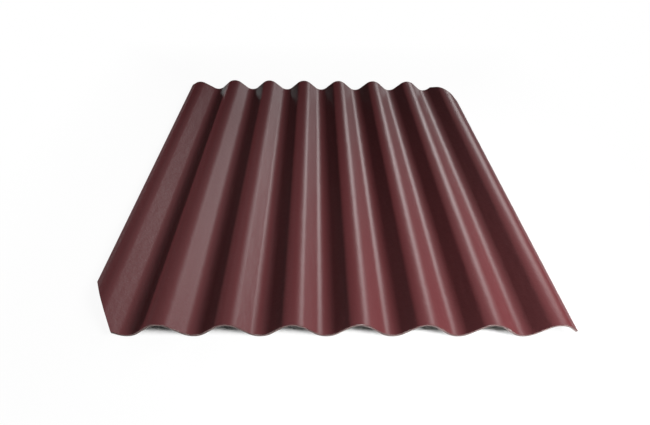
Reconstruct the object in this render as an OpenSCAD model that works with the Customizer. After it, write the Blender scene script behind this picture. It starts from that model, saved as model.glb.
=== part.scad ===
// Corrugated fiber cement roof sheet.
//
// The sheet is moulded in one piece, so it is one solid: a wavy section carried straight along its
// length, with two diagonally opposite corners mitred off. The waves run along Y and repeat along X.
// Each wave is an arc over the crest, a straight flank, and an arc through the valley. The wave at
// the left edge is lower, because the last wave of the next sheet laps over it.
//
// The origin is under the middle of the sheet, on the plane that the valleys rest on.

/* [Waves] */
// Number of crests across the sheet
wave_count = 8; // [2:1:14]
// Distance from one crest to the next
wave_pitch = 150; // [130:1:200]
// Height of a wave, from the top of a valley to the top of a crest
wave_height = 40; // [28:1:52]
// Height of the edge wave that the next sheet laps over
lapped_wave_height = 32; // [22:1:52]
// Radius of the crests and the valleys, at the middle of the thickness
wave_radius = 38; // [24:0.5:42]

/* [Sheet] */
// Length of the sheet, along its waves
sheet_length = 1250; // [800:10:3000]
// Thickness of the sheet, square to its surface
sheet_thickness = 5.8; // [4:0.1:8]
// From the axis of the first crest to the long edge beyond it, which the next sheet laps over
lapped_edge = 37; // [32:1:55]
// From the axis of the last crest to the long edge beyond it, which laps over the next sheet
lapping_edge = 43; // [32:1:55]

/* [Mitred corners] */
// Width that the mitre at the lapped edge takes off the front end
front_mitre_width = 80; // [20:1:150]
// Length that it takes off the lapped edge
front_mitre_length = 140; // [20:1:300]
// Width that the mitre at the lapping edge takes off the back end
back_mitre_width = 88; // [20:1:150]
// Length that it takes off the lapping edge
back_mitre_length = 140; // [20:1:300]

/* [Hidden] */

// Angle that one straight piece of an arc turns through, and how far a cut runs past what it cuts
arc_step = 5;
overrun = 10;

half_pitch = wave_pitch / 2;
sheet_width = (wave_count - 1) * wave_pitch + lapped_edge + lapping_edge;
first_crest = lapped_edge - sheet_width / 2;
last_crest = first_crest + (wave_count - 1) * wave_pitch;

// Largest radius at which a crest and a valley, a height apart, still leave a straight flank between
// them that is as long as the sheet is thick
function largest_radius(height) =
    (half_pitch * half_pitch + height * height - sheet_thickness * sheet_thickness) / (4 * height);

// Where the waves are narrow or high, the arcs are limited by the room between the flanks
arc_radius = min(wave_radius, largest_radius(wave_height), largest_radius(lapped_wave_height));

// Slope of the straight flank that joins a crest and a valley of equal radius, a height apart
function flank_angle(height) =
    let (lift = 2 * arc_radius - height)
    asin(2 * arc_radius / norm([half_pitch, lift])) - atan(lift / half_pitch);

// The wave at a long edge of the sheet may have a height of its own
function crest_height(crest) = crest == 0 ? lapped_wave_height : wave_height;

// Slopes along an arc, from one end down to level and up to the other end, in steps of about arc_step
function step_count(slope) = ceil(abs(slope) / arc_step);

function arc_slopes(from, to) =
    concat(
        [for (i = [0:step_count(from) - 1]) from * (1 - i / step_count(from))],
        [for (i = [0:step_count(to)]) to * i / step_count(to)]
    );

// A point of the middle of the thickness is [x, z, slope], and the slope is positive uphill to the right.
// Arcs over a crest and through a valley, about their own axes
function crest_arc(x, height, from, to) =
    [for (slope = arc_slopes(from, to))
        [x - arc_radius * sin(slope), height - arc_radius * (1 - cos(slope)), slope]];

function valley_arc(x, from, to) =
    [for (slope = arc_slopes(from, to))
        [x + arc_radius * sin(slope), arc_radius * (1 - cos(slope)), slope]];

// Point where the flank outside an edge crest ends. reach is from the crest's axis to the outer
// corner of the edge, and side is -1 at the left edge and 1 at the right.
function edge_point(x, height, reach, side) =
    let (
        angle = flank_angle(height),
        run = reach - sheet_thickness / 2 * sin(angle) - arc_radius * sin(angle),
        drop = arc_radius * (1 - cos(angle)) + run * tan(angle)
    )
    [x + side * (arc_radius * sin(angle) + run), height - drop, -side * angle];

// Crest with the half valleys beside it
function crest_path(crest) =
    let (
        x = first_crest + crest * wave_pitch,
        height = crest_height(crest),
        angle = flank_angle(height),
        next_angle = flank_angle(crest_height(crest + 1))
    )
    concat(
        crest_arc(x, height, angle, -angle),
        crest < wave_count - 1 ? valley_arc(x + half_pitch, -angle, next_angle) : []
    );

middle_path = concat(
    [edge_point(first_crest, crest_height(0), lapped_edge, -1)],
    [for (crest = [0:wave_count - 1]) each crest_path(crest)],
    [edge_point(last_crest, crest_height(wave_count - 1), lapping_edge, 1)]
);

// A face of the sheet lies half the thickness from the middle, square to it
function face_path(offset) =
    [for (point = middle_path)
        [point[0] - offset * sin(point[2]), point[1] + offset * cos(point[2]) + sheet_thickness / 2]];

function reversed(path) = [for (i = [len(path) - 1:-1:0]) path[i]];

// Section of the sheet, with its edges square to the surface
module wave_section() {
    polygon(concat(face_path(sheet_thickness / 2), reversed(face_path(-sheet_thickness / 2))));
}

// Corner that a mitre takes off, in plan a triangle that runs past both edges of the sheet.
// Its corner is at the origin, and its width and length run along +X and +Y.
module corner_cut(width, length) {
    translate([0, 0, -overrun])
        linear_extrude(wave_height + sheet_thickness + 2 * overrun)
            polygon([
                [-overrun, -overrun],
                [width + overrun * width / length, -overrun],
                [-overrun, length + overrun * length / width]
            ]);
}

module roof_sheet() {
    color([0.32, 0.19, 0.20])
        difference() {
            translate([0, sheet_length / 2, 0])
                rotate([90, 0, 0])
                    linear_extrude(sheet_length)
                        wave_section();
            translate([-sheet_width / 2, -sheet_length / 2, 0])
                corner_cut(front_mitre_width, front_mitre_length);
            translate([sheet_width / 2, sheet_length / 2, 0])
                rotate([0, 0, 180])
                    corner_cut(back_mitre_width, back_mitre_length);
        }
}

roof_sheet();
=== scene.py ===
# %% [markdown]
# # A corrugated fiber cement roof sheet
#
# The real sheet is one piece. Wet cement, sand and fibers are pressed over a corrugated mould, and the
# hardened sheet is then trimmed and painted. So the whole model is one mesh. What makes it look real is
# the exact wave, the square cut edges and the soft streaks in which the paint mirrors long lamps.
#
# The solid sheet is loaded first. It says how large everything is, and nothing here changes that.

# %% Load the solid sheet
import math

import bpy
from mathutils import Matrix, Vector


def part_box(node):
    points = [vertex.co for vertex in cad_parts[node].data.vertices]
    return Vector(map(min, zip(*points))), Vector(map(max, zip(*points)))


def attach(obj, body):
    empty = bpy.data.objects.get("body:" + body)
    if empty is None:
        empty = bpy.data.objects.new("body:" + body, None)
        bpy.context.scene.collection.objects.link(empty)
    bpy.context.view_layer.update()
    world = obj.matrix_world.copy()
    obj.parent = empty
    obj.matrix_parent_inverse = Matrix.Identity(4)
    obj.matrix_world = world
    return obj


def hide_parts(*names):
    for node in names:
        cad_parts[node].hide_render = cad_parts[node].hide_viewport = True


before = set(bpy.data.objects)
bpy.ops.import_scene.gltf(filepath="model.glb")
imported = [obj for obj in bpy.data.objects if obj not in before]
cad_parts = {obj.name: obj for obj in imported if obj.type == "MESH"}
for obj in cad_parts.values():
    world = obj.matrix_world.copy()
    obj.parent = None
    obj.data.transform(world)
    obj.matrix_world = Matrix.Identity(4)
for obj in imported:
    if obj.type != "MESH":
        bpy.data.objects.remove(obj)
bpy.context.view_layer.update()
sheet_low, sheet_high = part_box("roof_sheet")
sheet_size = sheet_high - sheet_low
print("sheet width, length and height:", [round(side, 4) for side in sheet_size])

# %% [markdown]
# ## The sizes of the wave
#
# A roofer knows a sheet by its pitch, the distance from crest to crest, and by its wave height. Crests
# and valleys are arcs of one radius, and a straight flank touches both. The wave along the left edge is
# lower, because the last wave of the next sheet laps over it. The box of the solid gives the rest: how
# many waves there are and how high they stand.

# %% Name the sizes, in metres
MM = 0.001
THICKNESS = 5.8 * MM
WAVE_PITCH = 150 * MM
WAVE_RADIUS = 38 * MM
LAPPED_WAVE_HEIGHT = 32 * MM
LAPPED_EDGE = 37 * MM
LAPPING_EDGE = 43 * MM

half_pitch = WAVE_PITCH / 2
wave_height = sheet_size.z - THICKNESS
first_crest = sheet_low.x + LAPPED_EDGE
last_crest = sheet_high.x - LAPPING_EDGE
wave_count = round((last_crest - first_crest) / WAVE_PITCH) + 1
print("waves:", wave_count, "of height", round(wave_height, 4))


# %% Find the slope of the flank that touches both arcs
def flank_angle(height):
    lift = 2 * WAVE_RADIUS - height
    return math.asin(2 * WAVE_RADIUS / math.hypot(half_pitch, lift)) - math.atan2(lift, half_pitch)


for height in (LAPPED_WAVE_HEIGHT, wave_height):
    degrees = math.degrees(flank_angle(height))
    print("a wave", round(height, 4), "high has flanks at", round(degrees, 2), "degrees")

# %% [markdown]
# ## Drawing half a wave
#
# A wave could be one sine curve, but the mould is made of arcs and flats, and the mirror image of a lamp
# in the paint shows the difference. So half a wave is drawn as it would be on paper: a point on the
# crest is spun about the crest's axis, pushed down the flank, and spun back about the valley's axis.
# The point is a small plane whose corners are merged into one.

# %% Draw the middle line of half a wave
ARC_STEPS = 11
FLANK_STEPS = 4
middle = sheet_low.z + THICKNESS / 2


def spin_point(turn, axis_x, axis_z):
    axis_place = (axis_x, sheet_low.y, axis_z)
    bpy.ops.mesh.spin(steps=ARC_STEPS, angle=turn, center=axis_place, axis=(0, 1, 0))


def draw_half_wave(name, height):
    angle = flank_angle(height)
    bpy.ops.object.select_all(action="DESELECT")
    bpy.ops.mesh.primitive_plane_add(size=MM)
    piece = bpy.context.object
    piece.name = name
    bpy.ops.object.mode_set(mode="EDIT")
    bpy.ops.mesh.merge(type="CENTER")
    bpy.ops.transform.translate(value=(0, sheet_low.y, middle + height))
    spin_point(-angle, 0, middle + height - WAVE_RADIUS)
    flank_run = half_pitch - 2 * WAVE_RADIUS * math.sin(angle)
    step = (flank_run / FLANK_STEPS, 0, -flank_run * math.tan(angle) / FLANK_STEPS)
    for _ in range(FLANK_STEPS):
        bpy.ops.mesh.extrude_vertices_move(TRANSFORM_OT_translate={"value": step})
    spin_point(angle, half_pitch, middle + WAVE_RADIUS)
    bpy.ops.object.mode_set(mode="OBJECT")
    return piece


lapped_wave = draw_half_wave("lapped_wave", LAPPED_WAVE_HEIGHT)
full_wave = draw_half_wave("roof_sheet_painted", wave_height)
print("points on half a wave:", len(full_wave.data.vertices))

# %% [markdown]
# ## From half a wave to the whole section
#
# A Mirror modifier makes the other half of a wave, and an Array modifier repeats the full one. The lower
# wave is made in the same way and joined on at the left. All the waves meet at the bottom of a valley,
# where both sides are level, so the joint doesn't show.


# %% Mirror and repeat the waves
def apply_modifier(piece, kind, **settings):
    bpy.ops.object.select_all(action="DESELECT")
    bpy.context.view_layer.objects.active = piece
    piece.select_set(True)
    modifier = piece.modifiers.new(kind.title(), kind)
    for setting, value in settings.items():
        setattr(modifier, setting, value)
    bpy.ops.object.modifier_apply(modifier=modifier.name)


def move_mesh(piece, offset):
    bpy.ops.object.select_all(action="DESELECT")
    bpy.context.view_layer.objects.active = piece
    bpy.ops.object.mode_set(mode="EDIT")
    bpy.ops.mesh.select_all(action="SELECT")
    bpy.ops.transform.translate(value=offset)
    bpy.ops.object.mode_set(mode="OBJECT")


MERGE_DISTANCE = 0.01 * MM
for wave in (lapped_wave, full_wave):
    apply_modifier(wave, "MIRROR", merge_threshold=MERGE_DISTANCE)
move_mesh(lapped_wave, (first_crest, 0, 0))
move_mesh(full_wave, (first_crest + WAVE_PITCH, 0, 0))
apply_modifier(
    full_wave,
    "ARRAY",
    count=wave_count - 1,
    use_relative_offset=False,
    use_constant_offset=True,
    constant_offset_displace=(WAVE_PITCH, 0, 0),
    use_merge_vertices=True,
    merge_threshold=MERGE_DISTANCE,
)
print("points on", wave_count - 1, "full waves:", len(full_wave.data.vertices))

# %% Join them into one section
sheet = full_wave
bpy.ops.object.select_all(action="DESELECT")
lapped_wave.select_set(True)
sheet.select_set(True)
bpy.context.view_layer.objects.active = sheet
bpy.ops.object.join()
bpy.ops.object.mode_set(mode="EDIT")
bpy.ops.mesh.select_all(action="SELECT")
bpy.ops.mesh.remove_doubles(threshold=MERGE_DISTANCE)
bpy.ops.object.mode_set(mode="OBJECT")
print("points on the section:", len(sheet.data.vertices))

# %% [markdown]
# ## From the section to a surface
#
# Extruding the section along the sheet gives the middle of its thickness. The long quads are then cut
# into rows, so that no face is a thin sliver and the mesh bends the light evenly.

# %% Extrude the section and cut it into rows
ROWS = 50

bpy.ops.object.mode_set(mode="EDIT")
bpy.ops.mesh.select_all(action="SELECT")
bpy.ops.mesh.extrude_region_move(TRANSFORM_OT_translate={"value": (0, sheet_size.y, 0)})
bpy.ops.mesh.select_mode(type="EDGE")
bpy.ops.mesh.select_all(action="DESELECT")
bpy.ops.object.mode_set(mode="OBJECT")
for edge in sheet.data.edges:
    start, end = (sheet.data.vertices[corner].co for corner in edge.vertices)
    edge.select = abs(end.y - start.y) > sheet_size.y / 2
bpy.ops.object.mode_set(mode="EDIT")
bpy.ops.mesh.subdivide(number_cuts=ROWS - 1)
bpy.ops.mesh.select_all(action="SELECT")
bpy.ops.mesh.normals_make_consistent(inside=False)
bpy.ops.object.mode_set(mode="OBJECT")
if sum(face.normal.z for face in sheet.data.polygons) < 0:
    sheet.data.flip_normals()
print("faces on the middle surface:", len(sheet.data.polygons))

# %% [markdown]
# ## Trimming the long edges
#
# The long edges are trimmed on the flank of the first and the last wave, square to the surface there.
# Bisect cuts the mesh with a plane, and clears what is past it. The plane goes through the edge at the
# middle of the thickness, and its normal is the direction in which the flank runs down.


# %% Cut the two long edges
def trim_long_edge(crest_x, height, reach, side):
    angle = flank_angle(height)
    run = reach - (WAVE_RADIUS + THICKNESS / 2) * math.sin(angle)
    drop = WAVE_RADIUS * (1 - math.cos(angle)) + run * math.tan(angle)
    edge_x = crest_x + side * (WAVE_RADIUS * math.sin(angle) + run)
    edge_z = middle + height - drop
    bpy.ops.mesh.select_all(action="SELECT")
    bpy.ops.mesh.bisect(
        plane_co=(edge_x, 0, edge_z),
        plane_no=(side * math.cos(angle), 0, -math.sin(angle)),
        clear_outer=True,
    )
    return edge_x


bpy.ops.object.select_all(action="DESELECT")
bpy.context.view_layer.objects.active = sheet
bpy.ops.object.mode_set(mode="EDIT")
left_edge = trim_long_edge(first_crest, LAPPED_WAVE_HEIGHT, LAPPED_EDGE, -1)
right_edge = trim_long_edge(last_crest, wave_height, LAPPING_EDGE, 1)
bpy.ops.object.mode_set(mode="OBJECT")
print("middle surface runs from", round(left_edge, 4), "to", round(right_edge, 4))

# %% [markdown]
# ## Thickness
#
# Solidify gives the surface its wall, half to each side, along the normals, so the edges come out square
# to the surface as on the real sheet. It also puts the back and the rim in material slots of their own:
# paint on top, bare cement below, and a cut edge all round.

# %% Give the sheet its wall
PAINTED, BARE, CUT, ARRIS = range(4)
for slot_name in ("painted_gloss", "bare_underside", "cut_edge", "worn_arris"):
    sheet.data.materials.append(bpy.data.materials.new(slot_name))

apply_modifier(
    sheet,
    "SOLIDIFY",
    thickness=THICKNESS,
    offset=0,
    use_rim=True,
    material_offset=BARE,
    material_offset_rim=CUT,
)
print("faces with the wall:", len(sheet.data.polygons))

# %% [markdown]
# ## The mitred corners
#
# Four sheets meet where rows and columns of a roof cross. Two opposite corners are sawn off on the
# slant, so that four layers never lie on each other. The saw stands upright, so this cut is made after
# the sheet has its wall. Bisect fills the cut face, which is then found by the way it faces.

# %% Saw off two corners
FRONT_MITRE_WIDTH = 80 * MM
BACK_MITRE_WIDTH = 88 * MM
MITRE_LENGTH = 140 * MM
SAME_WAY = 0.999


def saw_corner(corner, side, width):
    outwards = Vector((side * MITRE_LENGTH, side * width, 0)).normalized()
    bpy.ops.object.mode_set(mode="EDIT")
    bpy.ops.mesh.select_all(action="SELECT")
    bpy.ops.mesh.bisect(
        plane_co=corner - Vector((side * width, 0, 0)),
        plane_no=outwards,
        use_fill=True,
        clear_outer=True,
    )
    bpy.ops.object.mode_set(mode="OBJECT")
    cut_faces = [face for face in sheet.data.polygons if face.normal.dot(outwards) > SAME_WAY]
    for face in cut_faces:
        face.material_index = CUT
    return len(cut_faces)


print("front mitre faces:", saw_corner(sheet_low, -1, FRONT_MITRE_WIDTH))
print("back mitre faces:", saw_corner(sheet_high, 1, BACK_MITRE_WIDTH))

# %% [markdown]
# ## Layers in the cut edge
#
# The sheet is built up from thin felts of cement, and a sawn edge shows them as fine lines that follow
# the wave. No flat pattern can follow it, so every point of the mesh remembers how deep in the sheet it
# is, from 0 below to 1 on top, and the material draws its lines from that.

# %% Store the depth at every point
depth = sheet.data.attributes.new("depth", "FLOAT", "POINT")
for face in sheet.data.polygons:
    if face.material_index == PAINTED:
        for corner in face.vertices:
            depth.data[corner].value = 1
print("points on the painted face:", sum(item.value > 0 for item in depth.data))

# %% [markdown]
# ## Arrises
#
# No real edge is perfectly sharp. A small bevel rounds the arrises, and it catches the light as a fine
# line. Its faces get the material of a worn arris, where the paint is thin and the cement shows.

# %% Round the arrises
ARRIS_WIDTH = 0.6 * MM
ARRIS_SEGMENTS = 2
ARRIS_FROM = math.radians(50)
SMOOTH_UP_TO = math.radians(30)

apply_modifier(
    sheet,
    "BEVEL",
    width=ARRIS_WIDTH,
    segments=ARRIS_SEGMENTS,
    limit_method="ANGLE",
    angle_limit=ARRIS_FROM,
    use_clamp_overlap=False,
    material=ARRIS,
)
bpy.ops.object.mode_set(mode="EDIT")
bpy.ops.mesh.select_all(action="SELECT")
bpy.ops.mesh.normals_make_consistent(inside=False)
bpy.ops.object.mode_set(mode="OBJECT")
bpy.ops.object.shade_smooth_by_angle(angle=SMOOTH_UP_TO)
apply_modifier(sheet, "WEIGHTED_NORMAL", keep_sharp=True)
sheet.data.calc_loop_triangles()
print("triangles on the finished sheet:", len(sheet.data.loop_triangles))

# %% [markdown]
# ## Patterns that the finishes share
#
# Paint, cement and arris all need an uneven tone and small specks. Each is a node group, built once and
# placed in every material with values of its own. A group gives out a colour, a mask or a height only,
# and the shader stays in the material.
#
# A node tree is a set of nodes and the links between their sockets. One helper makes a node, puts it in
# a column and a row of the editor, and fills its inputs: an output of another node is linked, and
# anything else is set as a value. The helpers after it are for the kinds of node that come back most,
# and each of them hands back an output. Every pattern reads Object coordinates, which lie still on the
# sheet.


# %% Small helpers for node trees
COLUMN_WIDTH = 200
ROW_HEIGHT = 220


def add_node(tree, kind, column, row, inputs=None, **settings):
    made = tree.nodes.new(kind)
    made.location = (COLUMN_WIDTH * column, -ROW_HEIGHT * row)
    for setting, value in settings.items():
        setattr(made, setting, value)
    for socket, value in (inputs or {}).items():
        if isinstance(value, bpy.types.NodeSocket):
            tree.links.new(value, made.inputs[socket])
        else:
            made.inputs[socket].default_value = value
    return made


def add_math(tree, column, row, operation, *terms):
    made = add_node(tree, "ShaderNodeMath", column, row, dict(enumerate(terms)), operation=operation)
    return made.outputs["Value"]


def add_noise(tree, column, row, place, scale, detail):
    inputs = {"Vector": place, "Scale": scale, "Detail": detail}
    return add_node(tree, "ShaderNodeTexNoise", column, row, inputs).outputs["Fac"]


def add_ramp(tree, column, row, value, start, end, bottom=0.0, top=1.0):
    inputs = {"Value": value, "From Min": start, "From Max": end, "To Min": bottom, "To Max": top}
    return add_node(tree, "ShaderNodeMapRange", column, row, inputs).outputs["Result"]


def add_mix(tree, column, row, share, first, second, data_type="RGBA", blend_type="MIX"):
    inputs = {"Factor": share, "A": first, "B": second}
    settings = {"data_type": data_type, "blend_type": blend_type}
    return add_node(tree, "ShaderNodeMix", column, row, inputs, **settings).outputs["Result"]


print("materials that wait for their nodes:", len(sheet.data.materials))


# %% Start, end and place a node group
def start_group(name, inputs, output, output_kind):
    group = bpy.data.node_groups.new(name, "ShaderNodeTree")
    for socket, kind, value in inputs:
        made = group.interface.new_socket(socket, in_out="INPUT", socket_type=kind)
        made.default_value = value
    group.interface.new_socket(output, in_out="OUTPUT", socket_type=output_kind)
    return group, add_node(group, "NodeGroupInput", 0, 0).outputs


def end_group(group, result):
    add_node(group, "NodeGroupOutput", 6, 0, {0: result})
    return group


def place_group(tree, group, column, row, place, **values):
    inputs = {"Vector": place, **values}
    return add_node(tree, "ShaderNodeGroup", column, row, inputs, node_tree=group).outputs[0]


print("node groups so far:", len(bpy.data.node_groups))

# %% [markdown]
# Two layers of noise make an uneven field: one in broad clouds, and one fine. The clouds are stretched
# along the sheet, because rollers and spray bars leave their marks in the direction of travel.


# %% Build the uneven field
def build_uneven_field():
    inputs = [
        ("Vector", "NodeSocketVector", (0, 0, 0)),
        ("Broad", "NodeSocketFloat", 12),
        ("Fine", "NodeSocketFloat", 400),
        ("Share", "NodeSocketFloat", 0.3),
        ("Along", "NodeSocketFloat", 0.3),
    ]
    group, given = start_group("uneven_field", inputs, "Value", "NodeSocketFloat")
    scales = add_node(group, "ShaderNodeCombineXYZ", 1, 1, {"X": 1, "Y": given["Along"], "Z": 1})
    factors = {0: given["Vector"], 1: scales.outputs["Vector"]}
    stretched = add_node(group, "ShaderNodeVectorMath", 2, 0, factors, operation="MULTIPLY")
    broad = add_noise(group, 3, 0, stretched.outputs["Vector"], given["Broad"], detail=3)
    fine = add_noise(group, 3, 1, given["Vector"], given["Fine"], detail=4)
    return end_group(group, add_mix(group, 5, 0, given["Share"], broad, fine, data_type="FLOAT"))


uneven_field = build_uneven_field()
print("built", uneven_field.name)

# %% [markdown]
# Specks are grains of sand, pinholes and dust. A cell pattern has one point in each cell, and only the
# neighbourhood of that point is kept. Each cell also has a colour drawn by lot, and its red decides
# whether the cell keeps its speck at all, so the specks don't look like a regular net.


# %% Build the specks
def build_specks():
    inputs = [
        ("Vector", "NodeSocketVector", (0, 0, 0)),
        ("Scale", "NodeSocketFloat", 200),
        ("Radius", "NodeSocketFloat", 0.2),
        ("Rarity", "NodeSocketFloat", 0.6),
    ]
    group, given = start_group("specks", inputs, "Mask", "NodeSocketFloat")
    cell_inputs = {"Vector": given["Vector"], "Scale": given["Scale"]}
    cells = add_node(group, "ShaderNodeTexVoronoi", 2, 0, cell_inputs)
    near = add_math(group, 3, 0, "LESS_THAN", cells.outputs["Distance"], given["Radius"])
    lot = add_node(group, "ShaderNodeSeparateColor", 3, 1, {"Color": cells.outputs["Color"]})
    kept = add_math(group, 4, 1, "GREATER_THAN", lot.outputs["Red"], given["Rarity"])
    return end_group(group, add_math(group, 5, 0, "MULTIPLY", near, kept))


specks = build_specks()
print("built", specks.name)

# %% [markdown]
# The colours of paint and bare cement are groups too, because more than one finish shows them. Paint is
# a dark oxide red that varies a little, with a few grains of dust. Cement is a warm grey with darker and
# paler clouds, and with dark grains.

# %% Build the colour of the paint
PAINT_DARK = (0.068, 0.0155, 0.0175, 1)
PAINT_LIGHT = (0.088, 0.0200, 0.0225, 1)
PAINT_DUST = (0.30, 0.20, 0.19, 1)
DUST_COVER = 0.35


def build_paint_colour():
    inputs = [("Vector", "NodeSocketVector", (0, 0, 0))]
    group, given = start_group("paint_colour", inputs, "Color", "NodeSocketColor")
    place = given["Vector"]
    tone = place_group(group, uneven_field, 1, 0, place, Broad=14, Fine=350, Share=0.35, Along=0.15)
    reds = add_mix(group, 3, 0, tone, PAINT_DARK, PAINT_LIGHT)
    dust = place_group(group, specks, 1, 2, place, Scale=55, Radius=0.06, Rarity=0.8)
    thin_dust = add_math(group, 3, 2, "MULTIPLY", dust, DUST_COVER)
    return end_group(group, add_mix(group, 5, 0, thin_dust, reds, PAINT_DUST))


paint_colour = build_paint_colour()
print("built", paint_colour.name)

# %% Build the colour of bare cement
CEMENT_DARK = (0.23, 0.215, 0.20, 1)
CEMENT_LIGHT = (0.44, 0.42, 0.395, 1)
CEMENT_GRAIN = (0.12, 0.11, 0.10, 1)
GRAIN_COVER = 0.5


def build_cement_colour():
    inputs = [("Vector", "NodeSocketVector", (0, 0, 0)), ("Along", "NodeSocketFloat", 1)]
    group, given = start_group("cement_colour", inputs, "Color", "NodeSocketColor")
    place, along = given["Vector"], given["Along"]
    tone = place_group(group, uneven_field, 1, 0, place, Broad=18, Fine=600, Share=0.45, Along=along)
    contrast = add_ramp(group, 2, 0, tone, start=0.3, end=0.7)
    greys = add_mix(group, 3, 0, contrast, CEMENT_DARK, CEMENT_LIGHT)
    grains = place_group(group, specks, 1, 2, place, Scale=450, Radius=0.28, Rarity=0.72)
    faint_grains = add_math(group, 3, 2, "MULTIPLY", grains, GRAIN_COVER)
    return end_group(group, add_mix(group, 5, 0, faint_grains, greys, CEMENT_GRAIN))


cement_colour = build_cement_colour()
print("built", cement_colour.name)

# %% [markdown]
# ## Gloss paint
#
# The paint has a soft gloss, so it mirrors a lamp as a streak with blurred edges, and its roughness sets
# how blurred. What is the same all over, such as the roughness, is set on the shader itself.


# %% Start the material of the paint
def start_material(slot_index, roughness, specular=0.5):
    material = sheet.data.materials[slot_index]
    material.use_nodes = True
    tree = material.node_tree
    shader = tree.nodes["Principled BSDF"]
    shader.location = (8 * COLUMN_WIDTH, 0)
    shader.inputs["Roughness"].default_value = roughness
    shader.inputs["Specular IOR Level"].default_value = specular
    tree.nodes["Material Output"].location = (10 * COLUMN_WIDTH, 0)
    place = add_node(tree, "ShaderNodeTexCoord", 0, 0)
    return tree, shader, place.outputs["Object"]


tree, shader, place = start_material(PAINTED, roughness=0.36, specular=0.8)
paint = place_group(tree, paint_colour, 1, 0, place)
print("started", sheet.data.materials[PAINTED].name)

# %% [markdown]
# Along the right edge a narrow pale strip is mixed into the colour of the paint. The distance across the
# sheet finds the strip, and noise added to it makes its border ragged.

# %% Make a pale strip along the right edge
PALE_STRIP_WIDTH = 2.5 * MM
PALE_STRIP_RAGGED = 2.0 * MM
PALE_STRIP_COLOUR = (0.50, 0.46, 0.45, 1)

axes = add_node(tree, "ShaderNodeSeparateXYZ", 1, 2, {"Vector": place})
ragged = place_group(tree, uneven_field, 1, 1, place, Broad=60, Fine=500, Along=0.4)
waver = add_math(tree, 2, 1, "MULTIPLY_ADD", ragged, PALE_STRIP_RAGGED, axes.outputs["X"])
strip_end = sheet_high.x - PALE_STRIP_WIDTH + PALE_STRIP_RAGGED
whitened = add_ramp(tree, 3, 1, waver, start=strip_end - PALE_STRIP_RAGGED / 2, end=strip_end)
# the pale strip along the right edge is painted into the colour of the paint
paint_with_strip = add_mix(tree, 5, 0, whitened, paint, PALE_STRIP_COLOUR)
tree.links.new(paint_with_strip, shader.inputs["Base Color"])
print("rubbed strip:", round(PALE_STRIP_WIDTH / MM, 1), "mm wide")

# %% [markdown]
# Three bumps, one on top of the other, make the streaks waver as on the real sheet: slow hollows that
# the mould leaves along the waves, small dimples of the felt under the paint, and the fine orange peel
# of sprayed paint.

# %% Make the paint uneven
HOLLOWS = 1.6 * MM
DIMPLES = 0.32 * MM
ORANGE_PEEL = 0.15 * MM


def add_bump(tree, column, row, height, distance, under=None):
    inputs = {"Height": height, "Distance": distance}
    if under is not None:
        inputs["Normal"] = under
    return add_node(tree, "ShaderNodeBump", column, row, inputs).outputs["Normal"]


hollows = place_group(tree, uneven_field, 1, 3, place, Broad=16, Fine=60, Share=0.12, Along=0.35)
dimples = add_noise(tree, 1, 5, place, scale=75, detail=1)
peel = add_noise(tree, 1, 4, place, scale=240, detail=2)
hollow_normal = add_bump(tree, 4, 3, hollows, HOLLOWS)
dimple_normal = add_bump(tree, 5, 3, dimples, DIMPLES, under=hollow_normal)
peel_normal = add_bump(tree, 6, 3, peel, ORANGE_PEEL, under=dimple_normal)
tree.links.new(peel_normal, shader.inputs["Normal"])
print("nodes in the paint:", len(tree.nodes))

# %% [markdown]
# ## Bare cement
#
# The underside isn't painted. It lay on the mould's felt, which leaves a faint cloth mark, and lime has
# bloomed on it in pale clouds. It is quite matt.

# %% Finish the underside
LIME_BLOOM = (0.60, 0.59, 0.57, 1)
THREADS = {"Scale": 160, "Distortion": 1.5}
CLOTH_MARK = 0.12 * MM

tree, shader, place = start_material(BARE, roughness=0.92, specular=0.2)
cement = place_group(tree, cement_colour, 1, 0, place, Along=0.5)
clouds = place_group(tree, uneven_field, 1, 1, place, Broad=5, Fine=90, Share=0.25, Along=0.7)
bloom = add_ramp(tree, 3, 1, clouds, start=0.5, end=0.75, top=0.5)
limed = add_mix(tree, 5, 0, bloom, cement, LIME_BLOOM)
tree.links.new(limed, shader.inputs["Base Color"])

woven = {"Vector": place, **THREADS}
warp = add_node(tree, "ShaderNodeTexWave", 2, 3, woven, bands_direction="X")
weft = add_node(tree, "ShaderNodeTexWave", 2, 4, woven, bands_direction="Y")
cloth = add_math(tree, 3, 3, "MULTIPLY", warp.outputs["Fac"], weft.outputs["Fac"])
cloth_normal = add_bump(tree, 5, 3, cloth, CLOTH_MARK)
tree.links.new(cloth_normal, shader.inputs["Normal"])
print("nodes in the underside:", len(tree.nodes))

# %% [markdown]
# ## Cut edges
#
# The cut edge shows the inside of the sheet: grey cement in thin layers. The depth that every point
# remembers is counted off in layers, and a little noise makes them wobble.

# %% Layer the cut edge
LAYERS = 9
LAYER_SHADE = (0.72, 0.71, 0.70, 1)

tree, shader, place = start_material(CUT, roughness=0.9, specular=0.2)
cement = place_group(tree, cement_colour, 1, 0, place)
deep = add_node(tree, "ShaderNodeAttribute", 0, 2, attribute_name="depth").outputs["Fac"]
wobble = place_group(tree, uneven_field, 1, 1, place, Broad=90, Fine=900, Along=1.0)
layer_place = add_math(tree, 2, 2, "MULTIPLY_ADD", deep, LAYERS, wobble)
layers = add_math(tree, 3, 2, "PINGPONG", layer_place, 0.5)
layered = add_mix(tree, 4, 0, layers, cement, LAYER_SHADE, blend_type="MULTIPLY")
print("layers in the cut edge:", LAYERS)

# %% [markdown]
# The spray bar also blew a haze of paint over the cut edge. It covers about half of the grey below and
# most of it near the top, and the noise that moves the layers makes its border uneven too.

# %% Blow a haze of paint over it
HAZE_RAGGED = 0.6
HAZE_BELOW = 0.55
HAZE_ABOVE = 0.9
SAW_MARKS = 0.4 * MM

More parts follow.
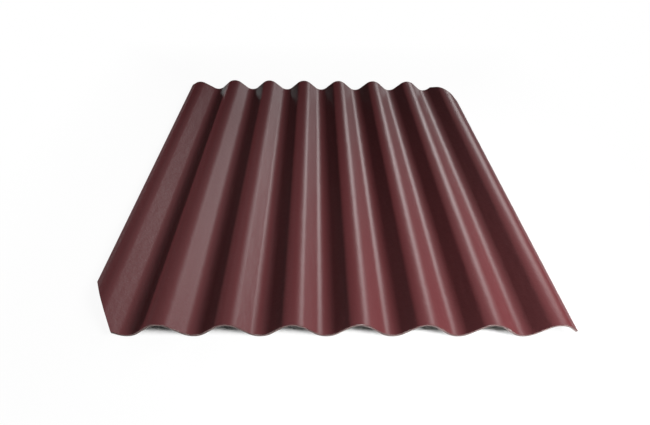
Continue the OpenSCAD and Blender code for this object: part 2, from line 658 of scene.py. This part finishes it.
paint = place_group(tree, paint_colour, 1, 3, place)
haze_height = add_math(tree, 3, 3, "MULTIPLY_ADD", wobble, HAZE_RAGGED, deep)
haze = add_ramp(tree, 4, 3, haze_height, start=0.6, end=1.4, bottom=HAZE_BELOW, top=HAZE_ABOVE)
hazed = add_mix(tree, 6, 0, haze, layered, paint)
tree.links.new(hazed, shader.inputs["Base Color"])
saw_marks = place_group(tree, uneven_field, 1, 5, place, Broad=300, Fine=1500, Along=1.0)
saw_normal = add_bump(tree, 6, 3, saw_marks, SAW_MARKS)
tree.links.new(saw_normal, shader.inputs["Normal"])
print("nodes in the cut edge:", len(tree.nodes))

# %% [markdown]
# The arris is where paint wears off first. A noise chooses between paint and cement, so the pale line
# along the edge comes and goes.

# %% Finish the arris
tree, shader, place = start_material(ARRIS, roughness=0.45)
paint = place_group(tree, paint_colour, 1, 0, place)
cement = place_group(tree, cement_colour, 1, 1, place)
wear = place_group(tree, uneven_field, 1, 2, place, Broad=45, Fine=500, Along=0.8)
worn = add_ramp(tree, 3, 2, wear, start=0.50, end=0.66)
arris_colour = add_mix(tree, 5, 0, worn, paint, cement)
tree.links.new(arris_colour, shader.inputs["Base Color"])
print("nodes in the arris:", len(tree.nodes))

# %% [markdown]
# ## Standing in for the solid
#
# The finished mesh takes the place of the plain solid, and rides on the same body.

# %% Replace the plain solid
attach(sheet, "root")
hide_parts("roof_sheet")
print("the sheet stands for the solid")

# %% [markdown]
# ## Floor
#
# The floor is plain and nearly white. For the camera, and in what the paint mirrors, most of its
# brightness is its own, so it stays white as far as it goes, while a small lit part keeps the sheet's
# shadow. The material first finds how far a point lies outside the sheet, in plan. Less than zero is
# under the sheet. The long edges stand up in the air, so along them it counts from a line further in.

# %% Lay the floor
FLOOR_SIZE = 60
FLOOR_INSET = 0.085

bpy.ops.object.select_all(action="DESELECT")
bpy.ops.mesh.primitive_plane_add(size=FLOOR_SIZE, location=(0, 0, sheet_low.z))
floor = bpy.context.object
floor.name = "floor"
floor_material = bpy.data.materials.new("white_floor")
floor_material.use_nodes = True
floor.data.materials.append(floor_material)
tree = floor_material.node_tree
tree.nodes.clear()

place = add_node(tree, "ShaderNodeTexCoord", 0, 0).outputs["Object"]
unsigned = add_node(tree, "ShaderNodeVectorMath", 1, 0, {0: place}, operation="ABSOLUTE")
half_sheet = (sheet_high.x - FLOOR_INSET, sheet_high.y, 0)
terms = {0: unsigned.outputs["Vector"], 1: half_sheet}
beyond = add_node(tree, "ShaderNodeVectorMath", 2, 0, terms, operation="SUBTRACT")
apart = add_node(tree, "ShaderNodeSeparateXYZ", 3, 0, {"Vector": beyond.outputs["Vector"]})
outside = add_math(tree, 4, 0, "MAXIMUM", apart.outputs["X"], apart.outputs["Y"])
print("laid a floor", FLOOR_SIZE, "m wide")

# %% [markdown]
# Three ramps read that distance. One takes the floor's own share down to nothing just under the edge of
# the sheet. One takes it up to the whole, further out. The third paints shade into the lit colour: under
# the sheet it turns nearly black, a painted shadow that makes the arches look deep.

# %% Share out the brightness of the floor
FLOOR_COLOUR = (0.82, 0.82, 0.82, 1)
# painted shadow: the nearly black colour that the floor takes under the sheet
PAINTED_SHADE_COLOUR = (0.02, 0.02, 0.02, 1)
OWN_SHARE = 0.92
OWN_FROM, OWN_UP_TO = -19 * MM, -2 * MM
WHOLE_FROM = 0.6
PAINTED_SHADE_UP_TO, COLOUR_FROM = -38 * MM, -14 * MM

near_share = add_ramp(tree, 5, 0, outside, start=OWN_FROM, end=OWN_UP_TO, top=OWN_SHARE)
far_share = add_ramp(tree, 5, 1, outside, start=0, end=WHOLE_FROM, top=1 - OWN_SHARE)
share = add_math(tree, 6, 0, "ADD", near_share, far_share)
# painted shade: this ramp darkens the lit floor colour under the sheet
outside_painted_shade = add_ramp(tree, 5, 2, outside, start=PAINTED_SHADE_UP_TO, end=COLOUR_FROM)
ground_with_painted_shade = add_mix(tree, 7, 2, outside_painted_shade, PAINTED_SHADE_COLOUR, FLOOR_COLOUR)
print("the floor's own share of its brightness beside the sheet:", OWN_SHARE)

# %% [markdown]
# Light Path tells which kind of ray has met the floor. Only the camera's rays, and those that come from
# a mirror image or through glass, see the floor's own brightness. The rays that carry light to other
# things don't, so the floor lights the sheet no more than a plain white floor does.

# %% Show that share to the right rays
rays = add_node(tree, "ShaderNodeLightPath", 5, 4).outputs
seen = add_math(tree, 6, 4, "MAXIMUM", rays["Is Camera Ray"], rays["Is Glossy Ray"])
seen_through = add_math(tree, 7, 4, "MAXIMUM", seen, rays["Is Transmission Ray"])
seen_share = add_math(tree, 8, 0, "MULTIPLY", seen_through, share)

lit = add_node(tree, "ShaderNodeBsdfDiffuse", 8, 2, {"Color": ground_with_painted_shade})
own = add_node(tree, "ShaderNodeEmission", 8, 3)
both = {"Fac": seen_share, 1: lit.outputs["BSDF"], 2: own.outputs["Emission"]}
floor_mix = add_node(tree, "ShaderNodeMixShader", 9, 0, both)
add_node(tree, "ShaderNodeOutputMaterial", 10, 0, {"Surface": floor_mix.outputs["Shader"]})
print("nodes in the floor:", len(tree.nodes))

# %% [markdown]
# ## Light
#
# Gloss paint shows what it mirrors, so the streaks on the waves are drawn with lamps. Three long lamps
# in a row, back on the right, make one softbox. It is so far away that all the waves see it in nearly
# the same direction, so their streaks look alike. A low lamp on the right puts grey in the dips.
#
# Two more lamps light the paint without showing in it. The one at the front right brings out its colour.
# The one on the left is so low that each crest shades the side of the next wave, which makes the deep
# bands. A last one, in front, lights nothing: it is only mirrored, mostly as a sheen from the back.


# %% Hang the softbox
def add_lamp(name, place, aim, across, along, power, spread=180, mirrored=True, lights=True):
    bpy.ops.object.light_add(type="AREA", location=place)
    lamp = bpy.context.object
    lamp.name = name
    lamp.data.shape = "RECTANGLE"
    lamp.data.size = along
    lamp.data.size_y = across
    lamp.data.energy = power
    lamp.data.spread = math.radians(spread)
    lamp.visible_camera = False
    lamp.visible_glossy = mirrored
    lamp.visible_diffuse = lights
    ahead = (Vector(aim) - Vector(place)).normalized()
    lamp.rotation_euler = ahead.to_track_quat("-Z", "Y").to_euler()


SOFTBOX_X = 3.55
SOFTBOX_Z = 3.0
SOFTBOX_ACROSS = 2.2
for name, middle_y, along, power in (
    ("softbox_near", 2.54, 1.68, 35),
    ("softbox_middle", 4.8, 2.85, 75),
    ("softbox_far", 7.6, 2.85, 75),
):
    softbox_place = (SOFTBOX_X, middle_y, SOFTBOX_Z)
    add_lamp(name, softbox_place, (0, middle_y, 0), SOFTBOX_ACROSS, along, power)

# %% Hang the other lamps
add_lamp("low_lamp", place=(1.7, 1.3, 0.22), aim=(0, 1.3, 0.22), across=0.4, along=3.0, power=2.0)
add_lamp(
    "colour_lamp",
    place=(1.4, -1.15, 1.3),
    aim=(0.55, -0.6, 0),
    across=0.85,
    along=0.94,
    power=36,
    spread=110,
    mirrored=False,
)
add_lamp(
    "shading_lamp",
    place=(-2.3, 0.1, 0.16),
    aim=(0, -0.3, 0.05),
    across=0.10,
    along=0.5,
    power=44,
    mirrored=False,
)
add_lamp(
    "sheen_lamp",
    place=(0.9, -3.0, 2.3),
    aim=(0, 0, 0),
    across=1.0,
    along=3.0,
    power=26,
    lights=False,
)

# %% [markdown]
# Light is also kept out of a shiny thing. Black and grey cards on the left and at the back stand where
# the left waves would mirror the pale floor far away.


# %% Stand up the cards
def new_felt(name, tone, cover=1.0):
    felt = bpy.data.materials.new(name)
    felt.use_nodes = True
    felt_shader = felt.node_tree.nodes["Principled BSDF"]
    felt_shader.inputs["Base Color"].default_value = (tone, tone, tone, 1)
    felt_shader.inputs["Roughness"].default_value = 1.0
    felt_shader.inputs["Specular IOR Level"].default_value = 0.0
    felt_shader.inputs["Alpha"].default_value = cover
    return felt


def add_card(name, place, turn, width, height, felt, casts=True):
    bpy.ops.mesh.primitive_plane_add(size=1, location=place)
    card = bpy.context.object
    card.name = name
    card.scale = (width, height, 1)
    card.rotation_euler = [math.radians(angle) for angle in turn]
    card.visible_camera = False
    card.visible_diffuse = casts
    card.visible_shadow = casts
    card.data.materials.append(felt)


UPRIGHT_ALONG = (90, 0, 90)
UPRIGHT_ACROSS = (90, 0, 0)
FLAT = (0, 0, 0)
black_felt = new_felt("black_felt", 0.02)
grey_felt = new_felt("grey_felt", 0.1)

for name, place, turn, width, height, felt in (
    ("left_card", (-1.3, 0.75, 0.89), UPRIGHT_ALONG, 1.5, 1.42, grey_felt),
    ("left_back_card", (-1.3, 2.05, 0.8), UPRIGHT_ALONG, 1.1, 1.6, black_felt),
    ("back_card", (-0.45, 2.6, 0.8), UPRIGHT_ACROSS, 1.7, 1.6, black_felt),
):
    add_card(name, place, turn, width, height, felt)

# %% [markdown]
# Felts lie on the floor beside and behind the sheet, and two stand upright, one further out on the left
# and one at the right edge. Nets hang where they dim what the paint mirrors. Felts and nets show in the
# paint only: they throw no shadow and take away no light.

# %% Lay the felts and hang the nets
thin_net = new_felt("thin_net", 0.02, cover=0.25)
thick_net = new_felt("thick_net", 0.02, cover=0.7)

for name, place, turn, width, height, felt in (
    ("left_felt", (-1.3, 0.7, 0.003), FLAT, 1.3, 4.0, black_felt),
    ("right_felt", (1.3, 0.7, 0.003), FLAT, 1.3, 4.0, black_felt),
    ("back_felt", (0, 1.75, 0.003), FLAT, 1.3, 1.9, black_felt),
    ("upright_felt", (-1.3, 0.75, 0.09), UPRIGHT_ALONG, 1.5, 0.18, black_felt),
    ("edge_felt", (0.62, 1.0, 0.033), UPRIGHT_ALONG, 3.6, 0.066, black_felt),
    ("edge_net", (0.62, 1.0, 0.121), UPRIGHT_ALONG, 3.6, 0.11, thin_net),
    ("left_net", (0, 0.42, 0.3), FLAT, 0.4, 1.7, thick_net),
):
    add_card(name, place, turn, width, height, felt, casts=False)

# %% Fill the room with even light
WORLD_LEVEL = 0.17
world = bpy.data.worlds.new("studio")
bpy.context.scene.world = world
world.use_nodes = True
background = world.node_tree.nodes["Background"]
background.inputs["Color"].default_value = (WORLD_LEVEL, WORLD_LEVEL, WORLD_LEVEL, 1)
print("world level:", WORLD_LEVEL)

# %% [markdown]
# ## Camera
#
# The camera stands in front of the sheet, not quite a metre above the floor, and looks down along the
# waves with a wide lens. Close and wide is what makes the waves fan out. Blender takes the lens and the
# sensor in millimetres, and the shifts as shares of the sensor.

# %% Place the camera
CAMERA_AHEAD = 0.560
CAMERA_HEIGHT = 0.861
CAMERA_LEFT = 0.032
CAMERA_DOWN = math.radians(41.25)
CAMERA_RIGHT_TURN = math.radians(1.0)
CAMERA_ROLL = math.radians(0.9)
LENS = 24.12
SENSOR_WIDTH = 36
SHIFT_X = 0.0082
SHIFT_Y = 0.0023
CLIP_START = 0.01

camera_place = Vector((-CAMERA_LEFT, sheet_low.y - CAMERA_AHEAD, CAMERA_HEIGHT))
camera_turn = (
    Matrix.Rotation(-CAMERA_RIGHT_TURN, 3, "Z")
    @ Matrix.Rotation(math.radians(90) - CAMERA_DOWN, 3, "X")
    @ Matrix.Rotation(CAMERA_ROLL, 3, "Z")
)
bpy.ops.object.camera_add(location=camera_place, rotation=camera_turn.to_euler())
camera = bpy.context.object
camera.data.sensor_width = SENSOR_WIDTH
camera.data.lens = LENS
camera.data.shift_x = SHIFT_X
camera.data.shift_y = SHIFT_Y
camera.data.clip_start = CLIP_START
bpy.context.scene.camera = camera
bpy.context.scene.view_settings.view_transform = "Standard"
print("camera at", [round(side, 3) for side in camera_place])
